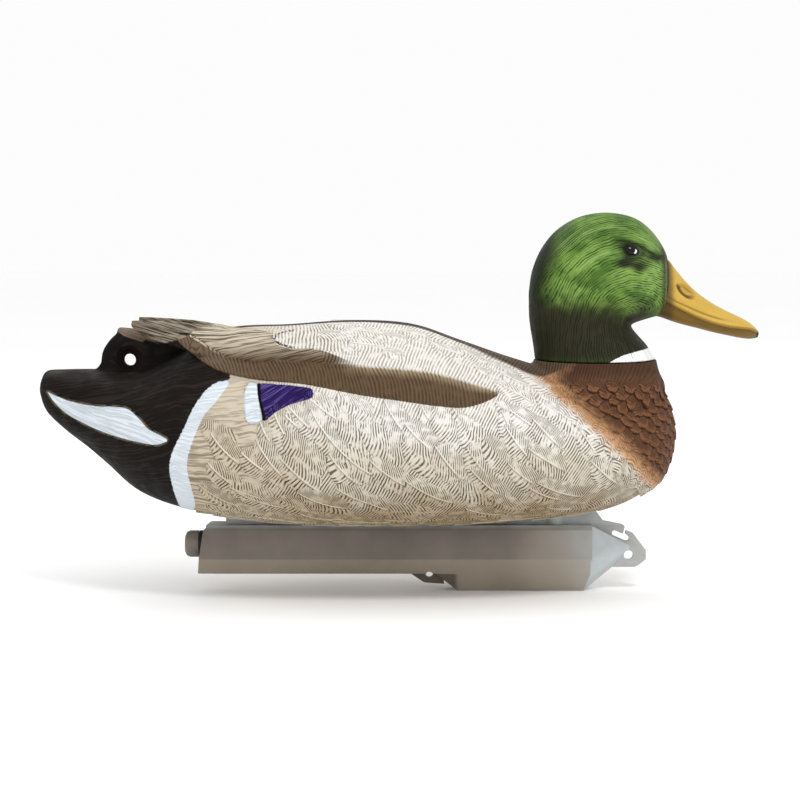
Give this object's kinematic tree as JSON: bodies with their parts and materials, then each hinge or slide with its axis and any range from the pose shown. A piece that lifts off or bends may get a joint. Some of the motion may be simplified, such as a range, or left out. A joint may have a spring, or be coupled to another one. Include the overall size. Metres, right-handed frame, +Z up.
{
  "type": "floating duck decoy",
  "caption": "Hollow mallard drake decoy that floats on a weighted keel: moulded hull, turning head, line ties and a pull-out ballast tube.",
  "frame": {"origin": "middle of the bounding box on the plane of the keel's lowest face", "axes": "+X out of the bill, +Y to the duck's left, +Z up"},
  "size_m": [0.4765, 0.1828, 0.2513],
  "materials": {
    "hull_plastic": "hand-painted feather relief, matt",
    "head_plastic": "hand-painted green head and yellow bill, satin",
    "eye_gloss": "polished black",
    "keel_plastic": "satin moulded",
    "cap_plastic": "satin moulded",
    "tube_plastic": "matt extruded",
    "nylon": "natural nylon",
    "black_rubber": "matt",
    "screw_steel": "stainless",
    "sand": "dry sand"
  },
  "bodies": {
    "hull": {"hull_shell": "hull_plastic", "neck_bush": "nylon", "keel_shell": "keel_plastic", "keel_screw_1": "screw_steel", "keel_screw_2": "screw_steel", "keel_screw_3": "screw_steel", "keel_washer_1": "black_rubber", "keel_washer_2": "black_rubber", "keel_washer_3": "black_rubber"},
    "head": {"head_shell": "head_plastic", "neck_spigot": "nylon", "neck_seal_ring": "black_rubber", "eye_left": "eye_gloss", "eye_right": "eye_gloss"},
    "ballast": {"ballast_tube": "tube_plastic", "ballast_sand": "sand", "ballast_front_plug": "black_rubber", "ballast_end_cap": "cap_plastic", "ballast_seal_ring": "black_rubber"}
  },
  "joints": [
    {"name": "head_turn", "type": "hinge", "parent": "hull", "child": "head", "pos_m": [0.13, 0, 0.154], "axis": [0, 0, 1], "range_deg": [-90, 90]},
    {"name": "ballast_pull", "type": "slide", "parent": "hull", "child": "ballast", "axis": [-1, 0, 0], "range_m": [0, 0.245]}
  ]
}
